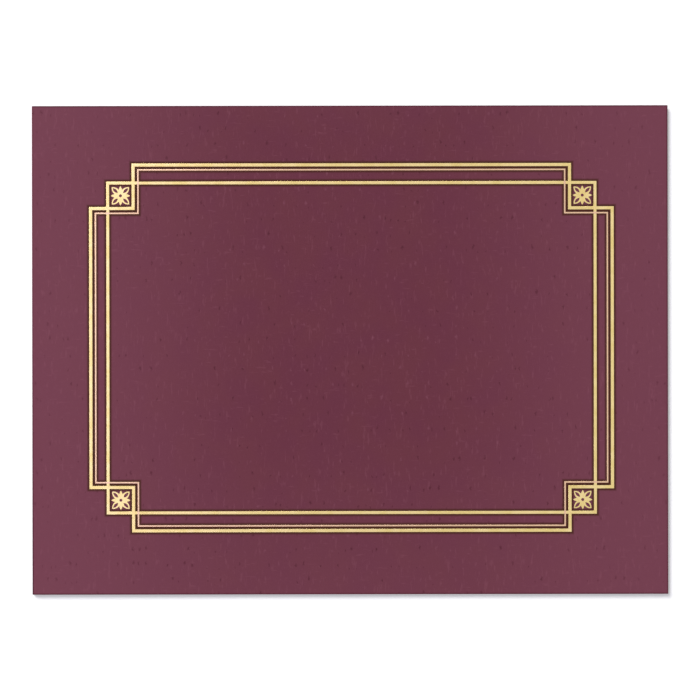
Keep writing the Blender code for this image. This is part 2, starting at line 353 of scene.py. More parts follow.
# %% Helpers for materials
def place_group(tree, shared, **inputs):
    """Places a shared effect in a material, and gives its outputs."""
    named = {name.replace("_", " ").title(): value for name, value in inputs.items()}
    return node(tree, "ShaderNodeGroup", named, node_tree=shared).outputs


def mix(tree, factor, first, second):
    """A Mix node on colours, each three numbers or another node's output."""
    colours = [one if isinstance(one, bpy.types.NodeSocket) else (*one, 1.0) for one in (first, second)]
    inputs = {0: factor, 6: colours[0], 7: colours[1]}
    return node(tree, "ShaderNodeMix", inputs, data_type="RGBA").outputs[2]


def tinted(tree, under, mask, share, tint):
    """Lays a tint over a colour where the mask says, up to a share of it."""
    return mix(tree, calc(tree, "MULTIPLY", mask, share), under, tint)


def band(tree, place, sizes, inner, outer, ragged=0.0):
    """A mask that is full up to the inner reach from a border's outline and gone at the outer reach."""
    reach = {"inner_reach": inner, "outer_reach": outer, "ragged": ragged}
    return place_group(tree, BAND, place=place, **dict(zip(BORDER_SIZES, sizes)), **reach)["Mask"]


def surfaced(name, build):
    """A material whose colour, roughness, relief's height, depth and strength come from a function."""
    made = bpy.data.materials.new(name)
    made.use_nodes = True
    tree = made.node_tree
    shader = tree.nodes["Principled BSDF"]
    colour, roughness, height, depth, strength = build(tree, shader)
    tree.links.new(colour, shader.inputs["Base Color"])
    tree.links.new(roughness, shader.inputs["Roughness"])
    relief = node(tree, "ShaderNodeBump", {"Strength": strength, "Distance": depth, "Height": height})
    tree.links.new(relief.outputs[0], shader.inputs["Normal"])
    return made

# %% [markdown]
# ## Where the border is stamped
#
# The border is a heavy line, a fine line inside it, and a frame line that crosses both at the corners.
# Its sizes could be written wherever a line is drawn. They are named here once, because the foil, its
# show-through and the band of painted shade beside it all follow the same three lines. A notched line
# has four sizes: half its width and height, and the place where its corner steps in. The frame line
# has no notch, so its step is at its own corner. The die was set a little off the cover's middle.

# %% The border's three lines
BORDER_CENTRE = Vector((0.8, 1.15)) * MM
FINE_SPACING = 2.42 * MM  # from the heavy line in to the fine one
HEAVY = (130.2 * MM, 91.3 * MM, 108.95 * MM, 69.65 * MM)
FINE = tuple(size - FINE_SPACING for size in HEAVY)
FRAME = (121.65 * MM, 82.35 * MM) * 2
LINES = {"heavy": (HEAVY, 1.6 * MM), "fine": (FINE, 0.75 * MM), "frame": (FRAME, 1.5 * MM)}


def centred(tree, place):
    """The place measured from the stamping's centre."""
    shift = (-BORDER_CENTRE.x, -BORDER_CENTRE.y, 0.0)
    return node(tree, "ShaderNodeMapping", {"Vector": place, "Location": shift}).outputs[0]


for line, (sizes, width) in LINES.items():
    print(line, "line:", [round(2000 * size, 1) for size in sizes[:2]], "mm,", 1000 * width, "mm wide")

# %% [markdown]
# ## Painted light and shade on the front cover
#
# The cover is paler towards its fold and its free edge, and a little along its lower edge, from the
# way the light falls. Lamps at the sides would show it on every piece and in every view, so here it
# is painted light in the stock's own colour. Its outline runs on past the cover above and below, so
# that the painted light follows the sides. The rim is painted darker, as shade on its rounded edge,
# and a band of painted shade lies beside each stamped line, where the die pushes the stock down.

# %% The cover's colour, with painted light and painted shade
BURGUNDY = (0.1435, 0.0323, 0.0497)
BURGUNDY_COOL = (0.1385, 0.0295, 0.0525)
# BURGUNDY_PALE is the pale core of a cut edge and of pale flecks, and also the tint of the painted light
# at the cover's sides and lower edge.
BURGUNDY_PALE = (0.197, 0.056, 0.086)
BURGUNDY_SLUB = (0.395, 0.137, 0.192)
# The colour of dark flecks, and also of the painted shade on the cover's rim.
BURGUNDY_FLECK_AND_SHADE = (0.085, 0.014, 0.026)
# Painted shade in a band beside each stamped line, where the stock is pushed down.
LINE_SHADE = (0.052, 0.013, 0.002)
HALF_WIDTH, HALF_HEIGHT = cad_box[1].x, cad_box[1].y
PAST_COVER = 100 * MM
SIDE_LIGHT_REACH, LOWER_LIGHT_REACH = 128 * MM, 95 * MM  # how far in each band of painted light reaches
SIDE_LIGHT_SHARE, LOWER_LIGHT_SHARE, RIM_SHADE_SHARE, LINE_SHADE_SHARE = 0.74, 0.3, 0.7, 0.85
# The band of painted shade along the cover's rim.
RIM_SHADE_BAND = (0.3 * MM, 1.0 * MM, 0.1 * MM)  # inner and outer reach, and how ragged it is
# Where the band of painted shade beside each stamped line begins and ends.
LINE_SHADE_NEAR, LINE_SHADE_FAR, LINE_SHADE_RAGGED = 0.4 * MM, 1.6 * MM, 0.3 * MM  # from a line's own edge


def painted_side_light(tree, place, dyed):
    """The stock with painted light at its sides and lower edge, and the mask of its sides."""
    # Painted light: paler towards the sides.
    sides = band(tree, place, (HALF_WIDTH, HALF_HEIGHT + PAST_COVER) * 2, 0.0, SIDE_LIGHT_REACH)
    dyed = tinted(tree, dyed, sides, SIDE_LIGHT_SHARE, BURGUNDY_PALE)
    low = -HALF_HEIGHT
    # Painted light: a little paler along the lower edge.
    lower = remap(tree, parts_of(tree, place)[1], low, low + LOWER_LIGHT_REACH, 1.0, 0.0, smooth=True)
    return tinted(tree, dyed, lower, LOWER_LIGHT_SHARE, BURGUNDY_PALE), sides


def rim_and_line_shade(tree, place, dyed):
    """The stock with painted shade on its rim and in a band beside each stamped line."""
    # Painted shade on the rounded rim.
    rim = band(tree, place, (HALF_WIDTH, HALF_HEIGHT) * 2, *RIM_SHADE_BAND)
    dyed = tinted(tree, dyed, rim, RIM_SHADE_SHARE, BURGUNDY_FLECK_AND_SHADE)
    # Painted shade in a band beside each stamped line.
    for sizes, width in LINES.values():
        near, far = width / 2 + LINE_SHADE_NEAR, width / 2 + LINE_SHADE_FAR
        beside = band(tree, centred(tree, place), sizes, near, far, LINE_SHADE_RAGGED)
        dyed = tinted(tree, dyed, beside, LINE_SHADE_SHARE, LINE_SHADE)
    return dyed


# How far the painted light reaches in from the sides and up from the lower edge.
print("the fades reach", 1000 * SIDE_LIGHT_REACH, "mm in from the sides and", 1000 * LOWER_LIGHT_REACH, "mm up")

# %% [markdown]
# ## Finish: burgundy cover stock
#
# One sheet shows three surfaces. Its outside is embossed, its inside is nearly smooth, and its cut
# edge shows the paper's paler core. They differ only in numbers, so one function makes all three.
# A rigid panel reads its pattern from Object coordinates. A piece that bends reads it from an
# attribute that keeps each point's flat place, or the pattern would slide as it turns. The flecks
# are laid over the painted light at the sides and thinned with it, so that they are as strong at the
# sides as in the middle.

# %% The stock's three surfaces
FLAT_PLACE = "flat_place"
FLECK_SHARE, FLECK_THINNED = 0.85, 0.45
FIBRE_SHARE, SLUB_SHARE = 0.03, 0.11
THREAD_LEVELS = (0.4, 0.75)
RUBBED = 0.1  # how much less rough the raised threads are
STOCK_SPECULAR = 0.15


def stock_material(name, relief, colour, roughness, bends=False, front=False):
    """One surface of the stock. The front cover adds its painted light and painted shade."""

    def build(tree, shader):
        if bends:
            place = node(tree, "ShaderNodeAttribute", attribute_name=FLAT_PLACE).outputs["Vector"]
        else:
            place = node(tree, "ShaderNodeTexCoord").outputs["Object"]
        linen, tone = place_group(tree, LINEN, place=place), place_group(tree, TONE, place=place)
        dyed = mix(tree, tone["Cloud"], BURGUNDY_COOL, colour)
        fleck_colour = mix(tree, tone["Fleck Shade"], BURGUNDY_FLECK_AND_SHADE, BURGUNDY_PALE)
        fleck = calc(tree, "MULTIPLY", tone["Fleck"], FLECK_SHARE)
        # The front cover takes painted light at its sides and lower edge, and its flecks are thinned
        # there.
        if front:
            dyed, sides = painted_side_light(tree, place, dyed)
            kept = calc(tree, "SUBTRACT", 1.0, calc(tree, "MULTIPLY", sides, FLECK_THINNED))
            fleck = calc(tree, "MULTIPLY", fleck, kept)
        dyed = mix(tree, fleck, dyed, fleck_colour)
        dyed = tinted(tree, dyed, tone["Fibre"], FIBRE_SHARE, BURGUNDY_SLUB)
        dyed = tinted(tree, dyed, linen["Slub"], SLUB_SHARE, BURGUNDY_SLUB)
        # The front cover takes painted shade on its rim and beside its stamped lines.
        if front:
            dyed = rim_and_line_shade(tree, place, dyed)
        shader.inputs["Specular IOR Level"].default_value = STOCK_SPECULAR
        rubbed = remap(tree, linen["Height"], *THREAD_LEVELS, roughness, roughness - RUBBED)
        return dyed, rubbed, linen["Height"], relief, 1.0

    return surfaced(name, build)


def stock_set(name, bends=False, front=False):
    """The outside, the inside and the cut edge of one sheet."""
    return (
        stock_material(name + "_linen", 0.035 * MM, BURGUNDY, 0.72, bends, front),
        stock_material(name + "_inside", 0.015 * MM, BURGUNDY, 0.78, bends),
        stock_material(name + "_cut_edge", 0.03 * MM, BURGUNDY_PALE, 0.85, bends),
    )


COVER_STOCK = stock_set("cover_stock", front=True)
PANEL_STOCK = stock_set("panel_stock")
BENT_STOCK = stock_set("bent_stock", bends=True)
print("cover stock finishes:", [one.name for one in COVER_STOCK + PANEL_STOCK + BENT_STOCK])

# %% [markdown]
# ## Finish: gold foil
#
# Stamping foil is a film of metal far thinner than a hair. It takes the shape of whatever is under
# it, so the linen threads show through as faint ripples that spread its highlights. A mirror-smooth
# metal would look like solid brass. The threads' height in the bump and the roughness, and soft
# clouds in the colour, give the broken gleam of foil on paper. On the fine line the film has hardly
# taken, and the red of the stock shows through it.

# %% The foil
GOLD = (0.58, 0.445, 0.175)
GOLD_PALE = (0.64, 0.50, 0.24)
GOLD_THIN = (0.57, 0.355, 0.255)
GOLD_ROUGHNESS = (0.24, 0.40)
FINE_LINE_BAND, THIN_SHARE = (0.5 * MM, 0.6 * MM), 0.8
FOIL_RIPPLE, FOIL_RIPPLE_STRENGTH = 0.01 * MM, 0.6


def foil_finish(tree, shader):
    place = node(tree, "ShaderNodeTexCoord").outputs["Object"]
    linen = place_group(tree, LINEN, place=place)
    gold = mix(tree, place_group(tree, TONE, place=place, cloud_size=6 * MM)["Cloud"], GOLD, GOLD_PALE)
    on_fine_line = band(tree, centred(tree, place), FINE, *FINE_LINE_BAND)
    gold = tinted(tree, gold, on_fine_line, THIN_SHARE, GOLD_THIN)
    shader.inputs["Metallic"].default_value = 1.0
    roughness = remap(tree, linen["Height"], 0.0, 1.0, *GOLD_ROUGHNESS)
    return gold, roughness, linen["Height"], FOIL_RIPPLE, FOIL_RIPPLE_STRENGTH


FOIL = surfaced("gold_foil_film", foil_finish)
print("foil:", FOIL.name, "with", len(FOIL.node_tree.nodes), "nodes")

# %% [markdown]
# ## Finish: dried glue
#
# White glue dries to a pale, slightly glossy skin with small bubbles in it. It could be left as one
# plain colour, since it is hidden between two panels. But the pocket's ends show it when the folder
# is open, so it takes the same clouds and fibres as the paper, at a glue's size.

# %% The glue
GLUE_DULL, GLUE_LIGHT = (0.72, 0.68, 0.56), (0.84, 0.81, 0.72)
GLUE_ROUGHNESS = (0.42, 0.6)
GLUE_PITS, GLUE_PITS_STRENGTH = 0.05 * MM, 0.5


def glue_finish(tree, shader):
    place = node(tree, "ShaderNodeTexCoord").outputs["Object"]
    tone = place_group(tree, TONE, place=place, cloud_size=4 * MM, fibre_size=0.8 * MM)
    skin = mix(tree, tone["Cloud"], GLUE_DULL, GLUE_LIGHT)
    roughness = remap(tree, tone["Fibre"], 0.0, 1.0, *GLUE_ROUGHNESS)
    return skin, roughness, tone["Fibre"], GLUE_PITS, GLUE_PITS_STRENGTH


GLUE = surfaced("dried_glue_skin", glue_finish)
print("glue:", GLUE.name, "with", len(GLUE.node_tree.nodes), "nodes")

# %% [markdown]
# ## Finishing a piece
#
# Every piece ends the same way: it rides on a CAD body and stands for the CAD node that it
# replaces. One function says both, so that neither is forgotten.


# %% Show a piece
def show(name, mesh, body, replaced=()):
    """Makes a finished mesh a piece that rides on a body and stands for CAD nodes."""
    mesh.name = name
    piece = placed(name, mesh)
    if body:
        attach(piece, body)
    if replaced:
        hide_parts(*replaced)
    return piece

# %% [markdown]
# ## Running a Geometry Nodes tree
#
# The foil lines, the ornament and the glue all follow paths or rules, so Geometry Nodes make them.
# A live modifier would be evaluated again in every pose. Here a tree is tried on a holder, its
# named inputs are set by their identifiers, and the result is kept as a plain mesh.

# %% Helpers for Geometry Nodes
MERGE = 0.0005 * MM  # points nearer than this are one


def run_tree(tree, start_mesh, values):
    """The plain mesh that a tree makes of a start mesh and its named inputs."""
    holder = placed(tree.name, start_mesh)
    modifier = holder.modifiers.new(tree.name, "NODES")
    modifier.node_group = tree
    for item in tree.interface.items_tree:
        if item.in_out == "INPUT" and item.name in values:
            modifier[item.identifier] = values[item.name]
    evaluated = holder.evaluated_get(bpy.context.evaluated_depsgraph_get())
    mesh = bpy.data.meshes.new_from_object(evaluated)
    holder.modifiers.remove(modifier)
    bpy.data.objects.remove(holder)
    return mesh


def position(tree):
    """Each point's own place."""
    return node(tree, "GeometryNodeInputPosition").outputs[0]


def finish_tree(tree, end, geometry, finish):
    """Makes the geometry real, gives it its finish and sends it out."""
    real = node(tree, "GeometryNodeRealizeInstances", {"Geometry": geometry}).outputs[0]
    done = node(tree, "GeometryNodeSetMaterial", {"Geometry": real, "Material": finish}).outputs[0]
    tree.links.new(done, end.inputs[0])


def shaped_ring(tree, points, place):
    """A circle whose points are moved to where a place says."""
    circle = {"Resolution": points, "Radius": 1.0}
    ring = node(tree, "GeometryNodeCurvePrimitiveCircle", circle).outputs[0]
    return node(tree, "GeometryNodeSetPosition", {"Geometry": ring, "Position": place}).outputs[0]


def closed_loops(name, loops):
    """A mesh of closed loops of edges, for a tree to turn into curves."""
    points, edges = [], []
    for loop in loops:
        first = len(points)
        points += loop
        edges += [(first + index, first + (index + 1) % len(loop)) for index in range(len(loop))]
    mesh = bpy.data.meshes.new(name)
    mesh.from_pydata(points, edges, [])
    return mesh

# %% [markdown]
# ## Closing a body
#
# A sweep leaves its seam as two rows of points in one place, and a Boolean can leave two faces back to
# back. Such a mesh looks whole, but its shading breaks at the gap and it isn't a closed body. It could
# be mended by hand in Edit Mode. This function does it the same way for each piece, and counts what
# is still open, so that a bad seam shows in the printout.


# %% Merge, clean and count
def closed_body(mesh):
    """Merges what meets, drops flaps of no thickness, turns faces outwards, and counts open edges."""
    work = bmesh.new()
    work.from_mesh(mesh)
    bmesh.ops.remove_doubles(work, verts=work.verts, dist=MERGE)
    twins = {}
    for face in work.faces:
        twins.setdefault(frozenset(face.verts), []).append(face)
    flaps = [face for faces in twins.values() if len(faces) > 1 for face in faces]
    bmesh.ops.delete(work, geom=flaps, context="FACES")
    bmesh.ops.recalc_face_normals(work, faces=work.faces)
    loose = sum(not edge.is_manifold for edge in work.edges)
    work.to_mesh(mesh)
    work.free()
    return loose

# %% [markdown]
# ## A stamped line
#
# A line of foil could be a flat ribbon, but the die presses the film hardest at its edges, and that
# leaves a low pillow. So a profile is swept round a path. At a right-angled corner the sweep cuts the
# profile on the diagonal, so a profile made wider by the square root of two leaves lines of the true
# width with crisp mitres.

# %% The tree that sweeps a line
PROFILE_POINTS = 16
UPPER_HALF = -0.01  # the profile's points above this take the edge height, and the rest lie flat


def line_tree():
    sizes = (("Line Width", 1.0), ("Edge Height", 0.03), ("Swell", 0.02))
    inputs = [("Geometry", GEOMETRY, None), *((name, FLOAT, size * MM) for name, size in sizes)]
    tree, start, end = group(
        "stamped_line", SHAPING, [*inputs, ("Finish", MATERIAL, None)], [("Geometry", GEOMETRY)]
    )
    size = start.outputs
    path = node(tree, "GeometryNodeMeshToCurve", {"Mesh": size["Geometry"]}).outputs[0]
    place = parts_of(tree, position(tree))
    half = calc(tree, "MULTIPLY", size["Line Width"], math.sqrt(2) / 2)
    across = calc(tree, "MULTIPLY", place[0], half)
    rise = calc(tree, "MULTIPLY", calc(tree, "MAXIMUM", place[1], 0.0), size["Swell"])
    upper = calc(tree, "GREATER_THAN", place[1], UPPER_HALF)
    height = calc(tree, "MULTIPLY", calc(tree, "ADD", rise, size["Edge Height"]), upper)
    point = {0: across, 1: calc(tree, "MULTIPLY", height, -1.0)}
    profile = shaped_ring(tree, PROFILE_POINTS, node(tree, "ShaderNodeCombineXYZ", point).outputs[0])
    swept = node(tree, "GeometryNodeCurveToMesh", {"Curve": path, "Profile Curve": profile}).outputs[0]
    finish_tree(tree, end, swept, size["Finish"])
    return tree


LINE_TREE = line_tree()
print("stamped line has", len(LINE_TREE.nodes), "nodes")

# %% [markdown]
# ## The border's three paths
#
# A heavy line and a fine one step in at the corners, and a frame line runs straight past them and so
# makes the four corner squares. Every corner could be typed in, and one slip would make the border
# uneven. Here each path is one quarter, mirrored into all four corners.

# %% Paths and swept lines
CORNERS = ((1, 1), (-1, 1), (-1, -1), (1, -1))


def border_path(sizes):
    """The corners of a notched rectangle, or of a plain one where the step is at its corner."""
    half_x, half_y, notch_x, notch_y = sizes
    if notch_x == half_x:
        quarter = [(half_x, half_y)]
    else:
        quarter = [(half_x, notch_y), (notch_x, notch_y), (notch_x, half_y)]
    points = []
    for turn, (side, rise) in enumerate(CORNERS):
        corner = [(BORDER_CENTRE.x + side * x, BORDER_CENTRE.y + rise * y) for x, y in quarter]
        points += corner if turn % 2 == 0 else corner[::-1]
    return points


def swept_lines(low, edge, swell, widen, finish):
    """The border's three lines as three closed bodies."""
    bodies = []
    for sizes, width in LINES.values():
        path = closed_loops("path", [[(x, y, low) for x, y in border_path(sizes)]])
        values = {"Line Width": width + widen, "Edge Height": edge, "Swell": swell, "Finish": finish}
        mesh = run_tree(LINE_TREE, path, values)
        closed_body(mesh)
        bodies.append(mesh)
    return bodies


print("border corners:", {line: len(border_path(sizes)) for line, (sizes, _) in LINES.items()})

# %% [markdown]
# ## The foil border
#
# The three lines are stamped in one stroke, so where they cross there is one film and not two. Three
# meshes that overlap would render much the same, but they would be three bodies in one place. A Mesh
# Boolean joins them into one closed film.

# %% Join the lines into one film
FOIL_LOW = FACE_Z - 0.08 * MM
FOIL_EDGE, FOIL_SWELL = 0.02 * MM, 0.03 * MM


def joined(bodies, finish):
    """One closed body from several that cross, by a Mesh Boolean of their union."""
    others = [(f"Body {number}", "NodeSocketObject", None) for number in range(1, len(bodies))]
    inputs = [("Geometry", GEOMETRY, None), *others, ("Finish", MATERIAL, None)]
    tree, start, end = group("one_film", SHAPING, inputs, [("Geometry", GEOMETRY)])
    union = node(tree, "GeometryNodeMeshBoolean", operation="UNION", solver="EXACT")
    holders = {}
    for (name, _, _), mesh in zip(others, bodies[1:]):
        holders[name] = placed(name, mesh)
        info = node(tree, "GeometryNodeObjectInfo", {"Object": start.outputs[name]})
        tree.links.new(info.outputs["Geometry"], union.inputs[1])
    tree.links.new(start.outputs["Geometry"], union.inputs[1])
    finish_tree(tree, end, union.outputs[0], start.outputs["Finish"])
    mesh = run_tree(tree, bodies[0], {**holders, "Finish": finish})
    for holder in holders.values():
        bpy.data.objects.remove(holder)
    return mesh


border_film = joined(swept_lines(FOIL_LOW, FOIL_EDGE, FOIL_SWELL, 0.0, FOIL), FOIL)
open_edges = closed_body(border_film)
show("stamped_border", border_film, "front", ["foil_border"])
print("border film:", len(border_film.polygons), "faces,", open_edges, "open edges")

# %% [markdown]
# ## The outline of the corner ornaments
#
# Each corner square holds a stamped rosette of eight leaves about an eyelet. Drawing it by hand
# would be slow, and its leaves would differ. Its outline follows a rule instead. A pointed leaf is
# the overlap of two circles, so its edge has a simple formula in the angle from its own axis, and
# the rosette's edge is the furthest of all the leaves and the hub.

# %% How far the rosette reaches
ROSETTE = {
    "Long Leaf": 6.1 * MM,
    "Long Width": 3.0 * MM,
    "Short Leaf": 4.8 * MM,
    "Short Width": 1.7 * MM,
    "Hub": 1.5 * MM,
    "Film": 0.05 * MM,
}


def leaf_edge(tree, angle, length, width):
    """How far a leaf reaches at an angle from its axis: 2 r sin(opening - angle), or below nothing."""
    squares = [calc(tree, "MULTIPLY", side, side) for side in (length, width)]
    radius = calc(tree, "DIVIDE", calc(tree, "ADD", *squares), calc(tree, "MULTIPLY", width, 4.0))
    across = calc(tree, "MULTIPLY", radius, 2.0)
    opening = calc(tree, "ARCSINE", calc(tree, "DIVIDE", length, across))
    return calc(tree, "MULTIPLY", calc(tree, "SINE", calc(tree, "SUBTRACT", opening, angle)), across)


def rosette_reach(tree, size):
    """The furthest leaf at each point's angle. Long leaves lie on the diagonals, short ones between."""
    place = parts_of(tree, position(tree))
    angle = calc(tree, "ARCTAN2", place[1], place[0])
    quarter = math.pi / 2
    reach = size["Hub"]
    for leaf, turn in (("Long", 0.0), ("Short", quarter / 2)):
        turned = calc(tree, "FLOORED_MODULO", calc(tree, "ADD", angle, turn), quarter)
        off_axis = calc(tree, "ABSOLUTE", calc(tree, "SUBTRACT", turned, quarter / 2))
        edge = leaf_edge(tree, off_axis, size[f"{leaf} Leaf"], size[f"{leaf} Width"])
        reach = calc(tree, "MAXIMUM", reach, edge)
    return reach


print("rosette sizes:", {name: round(1000 * size, 2) for name, size in ROSETTE.items()}, "mm")

# %% [markdown]
# ## The rosette's film
#
# The tree bends a circle of points to that outline, fills it round the veins and the eyelet, and
# gives the film its thickness. A Boolean could cut the openings out of a solid leaf, but filling
# between curves leaves cleaner walls.

# %% The tree that makes a rosette
OUTLINE_POINTS = 112


def together(tree, *shapes):
    """Several shapes as one geometry."""
    made = node(tree, "GeometryNodeJoinGeometry")
    for shape in shapes:
        tree.links.new(shape, made.inputs[0])
    return made.outputs[0]


def rosette_tree():
    sizes = [(name, FLOAT, size) for name, size in ROSETTE.items()]
    inputs = [("Geometry", GEOMETRY, None), *sizes, ("Finish", MATERIAL, None)]
    tree, start, end = group("stamped_rosette", SHAPING, inputs, [("Geometry", GEOMETRY)])
    size = start.outputs
    edge = shaped_ring(tree, OUTLINE_POINTS, scaled(tree, position(tree), rosette_reach(tree, size)))
    holes = node(tree, "GeometryNodeMeshToCurve", {"Mesh": size["Geometry"]}).outputs[0]
    outlines = together(tree, holes, edge)
    plate = node(tree, "GeometryNodeFillCurve", {"Curve": outlines}, mode="TRIANGLES").outputs[0]
    lower = node(tree, "GeometryNodeFlipFaces", {"Mesh": plate}).outputs[0]
    lift = node(tree, "ShaderNodeCombineXYZ", {2: size["Film"]}).outputs[0]
    lifted = {"Mesh": plate, "Offset": lift, "Individual": False}
    raised = node(tree, "GeometryNodeExtrudeMesh", lifted, mode="FACES").outputs[0]
    close = {"Geometry": together(tree, lower, raised), "Distance": MERGE}
    finish_tree(tree, end, node(tree, "GeometryNodeMergeByDistance", close).outputs[0], size["Finish"])
    return tree


ROSETTE_TREE = rosette_tree()
print("stamped rosette has", len(ROSETTE_TREE.nodes), "nodes")

# %% [markdown]
# ## Veins and eyelet
#
# The openings are curves that the tree fills round. They could be drawn by hand, but four veins would
# never come out alike. So one vein is drawn as two arcs of a parabola, pointed at both ends like its
# leaf, and turned onto all four long leaves. The eyelet is a plain circle. The finished rosette is
# then copied to each place that the CAD model gives it.

# %% Openings, and the four corners
EYELET = 0.75 * MM  # radius
VEIN_START, VEIN_LENGTH, VEIN_WIDTH = 1.9 * MM, 3.5 * MM, 1.4 * MM
VEIN_STEPS, EYELET_STEPS = 8, 24


def rosette_holes():
    """The four veins, each a pointed opening along a long leaf, and the eyelet."""
    side = [(step / VEIN_STEPS, 1 - (step / VEIN_STEPS) ** 2) for step in range(-VEIN_STEPS, VEIN_STEPS)]
    vein = side + [(-along, -across) for along, across in side]
    middle = VEIN_START + VEIN_LENGTH / 2
    flat = [Vector((middle + along * VEIN_LENGTH / 2, across * VEIN_WIDTH / 2)) for along, across in vein]
    turns = [Matrix.Rotation(math.pi / 4 + leaf * math.pi / 2, 2) for leaf in range(4)]
    loops = [[turn @ point for point in flat] for turn in turns]
    steps = [math.tau * step / EYELET_STEPS for step in range(EYELET_STEPS)]
    loops.append([Vector((EYELET * math.cos(step), EYELET * math.sin(step))) for step in steps])
    return closed_loops("rosette_holes", [[(x, y, 0.0) for x, y in loop] for loop in loops])


rosette_film = run_tree(ROSETTE_TREE, rosette_holes(), {**ROSETTE, "Finish": FOIL})
print("rosette:", len(rosette_film.polygons), "faces,", closed_body(rosette_film), "open edges")
for number in range(1, 5):
    low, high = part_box(f"foil_ornament_{number}")
    mesh = rosette_film.copy()
    mesh.transform(Matrix.Translation(((low.x + high.x) / 2, (low.y + high.y) / 2, low.z)))
    show(f"corner_rosette_{number}", mesh, "front", [f"foil_ornament_{number}"])

# %% [markdown]
# ## Rounding the rims of a sheet
#
# A CAD node's edges are knife edges, and paper has none. A Bevel modifier would round every edge
# alike. Here a copy of the node is merged and its flat faces are made whole, and then only the sharp
# edges that are chosen get a bevel.

# %% Helpers for sheets
FLAT_ANGLE, RIM_ANGLE = 1, 40  # degrees: less is one flat face, more is a sharp rim


def merged_copy(node_name):
    """A bmesh of a CAD node with its triangles joined up and its flat faces made whole."""
    work = bmesh.new()
    work.from_mesh(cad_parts[node_name].data)
    bmesh.ops.remove_doubles(work, verts=work.verts, dist=MERGE)
    flat = math.radians(FLAT_ANGLE)
    bmesh.ops.dissolve_limit(work, angle_limit=flat, verts=work.verts, edges=work.edges)
    return work


def round_rims(work, width, chosen=lambda middle: True, segments=2):
    """Bevels the sharp edges whose middle is chosen."""
    rims, sharp = [], math.radians(RIM_ANGLE)
    for edge in work.edges:
        middle = (edge.verts[0].co + edge.verts[1].co) / 2
        if edge.is_manifold and edge.calc_face_angle(0.0) > sharp and chosen(middle):
            rims.append(edge)
    shape = {"offset_type": "OFFSET", "profile": 0.5, "affect": "EDGES", "clamp_overlap": True}
    bmesh.ops.bevel(work, geom=rims, offset=width, segments=segments, **shape)
    return len(rims)


def finished_mesh(work, name):
    """The plain mesh of a bmesh, with its faces turned outwards and its open edges counted."""
    mesh = bpy.data.meshes.new(name)
    loose = sum(not edge.is_manifold for edge in work.edges)
    bmesh.ops.recalc_face_normals(work, faces=work.faces)
    work.to_mesh(mesh)
    work.free()
    print(f"{name}: {len(mesh.polygons)} faces, {loose} open edges")
    return mesh

# %% [markdown]
# ## Which finish a face takes
#
# A sheet's outside, its inside and its cut edges are finished differently. The faces could be picked
# one by one in Edit Mode, and would have to be picked again after each change. But the way a face
# points already tells which of the three it is, so a function gives them out.


# %% Give out the three finishes
def face_finishes(mesh, finishes, outside):
    """The first finish for faces that point outside, the second for their backs, the third for cuts."""
    mesh.materials.clear()
    for finish in finishes:
        mesh.materials.append(finish)
    outside = Vector(outside)
    for face in mesh.polygons:
        facing = face.normal.dot(outside)
        face.material_index = 0 if facing > 0.5 else 1 if facing < -0.5 else 2

# %% [markdown]
# ## The front cover's pressed grooves
#
# The CAD node has the true grooves for the foil, but their rims are sharp. Paper under a stamping die
# rounds over into the groove, and a thin line of shade beside the foil is what makes a stamped line
# look pressed in. The lines' rims take a wide bevel. Those of the rosettes take a narrow one, because
# their leaves come close together.

# %% Round the cover's rims
RIM, ROSETTE_RIM = 0.09 * MM, 0.02 * MM
SQUARE_CENTRE = (115.3 * MM, 76.0 * MM)  # of each corner square, from the stamping's centre
SQUARE_REACH = 6.25 * MM


def in_rosette(middle):
    """True within a corner square's stamping."""
    off = [abs(abs(middle[axis] - BORDER_CENTRE[axis]) - SQUARE_CENTRE[axis]) for axis in (0, 1)]
    return max(off) < SQUARE_REACH


def front_cover():
    work = merged_copy("front_cover")
    on_face = FACE_Z - 0.01 * MM
    count = round_rims(work, RIM, lambda middle: not in_rosette(middle))
    finer = round_rims(work, ROSETTE_RIM, lambda middle: in_rosette(middle) and middle.z > on_face, 1)
    print("rounded", count, "rims of the cover and its lines, and", finer, "of the rosettes")
    return finished_mesh(work, "pressed_cover")


pressed_cover = front_cover()

# %% [markdown]
# ## The show-through inside the cover
#
# A stamping die pushes the stock back, so an opened cover shows the border again as low ridges on its
# inner face. Bump could suggest them, but they catch the light at a slant, where bump looks flat.
# They are the border's own lines, wider and softer, turned over and joined to the cover.

# %% Add the ridges and finish the cover
INSIDE_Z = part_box("front_cover")[0].z
RIDGE_LOW, RIDGE_SWELL, RIDGE_WIDEN = -0.03 * MM, 0.12 * MM, 0.4 * MM


def show_through():
    """Low, soft ridges under the inner face."""
    bodies = swept_lines(RIDGE_LOW, 0.0, RIDGE_SWELL, RIDGE_WIDEN, None)
    for mesh in bodies:
        mesh.transform(Matrix.Translation((0, 0, INSIDE_Z)) @ Matrix.Scale(-1, 4, (0, 0, 1)))
        closed_body(mesh)
    return bodies


cover = joined([pressed_cover, *show_through()], None)
print("cover with its show-through:", len(cover.polygons), "faces,", closed_body(cover), "open edges")
face_finishes(cover, COVER_STOCK, (0, 0, 1))
show("front_cover_face", cover, "front", ["front_cover"])

# %% [markdown]
# ## The back cover and the mount panel
#
# These are plain panels of the same sheet. They could be drawn anew, but a copy of each CAD node fits
# its neighbours by itself. What makes them paper is their finish and their edges: a die cuts with a
# slight roll, so each rim is rounded by a few hundredths of a millimetre.

# %% Dress the plain panels
PANEL_RIM = 0.05 * MM


def dress_panel(node_name, name, body, outside, rim):
    """A plain panel: its CAD node with rounded rims and the stock's finishes."""
    work = merged_copy(node_name)
    round_rims(work, rim)
    panel = finished_mesh(work, name)
    face_finishes(panel, PANEL_STOCK, outside)
    show(name, panel, body, [node_name])


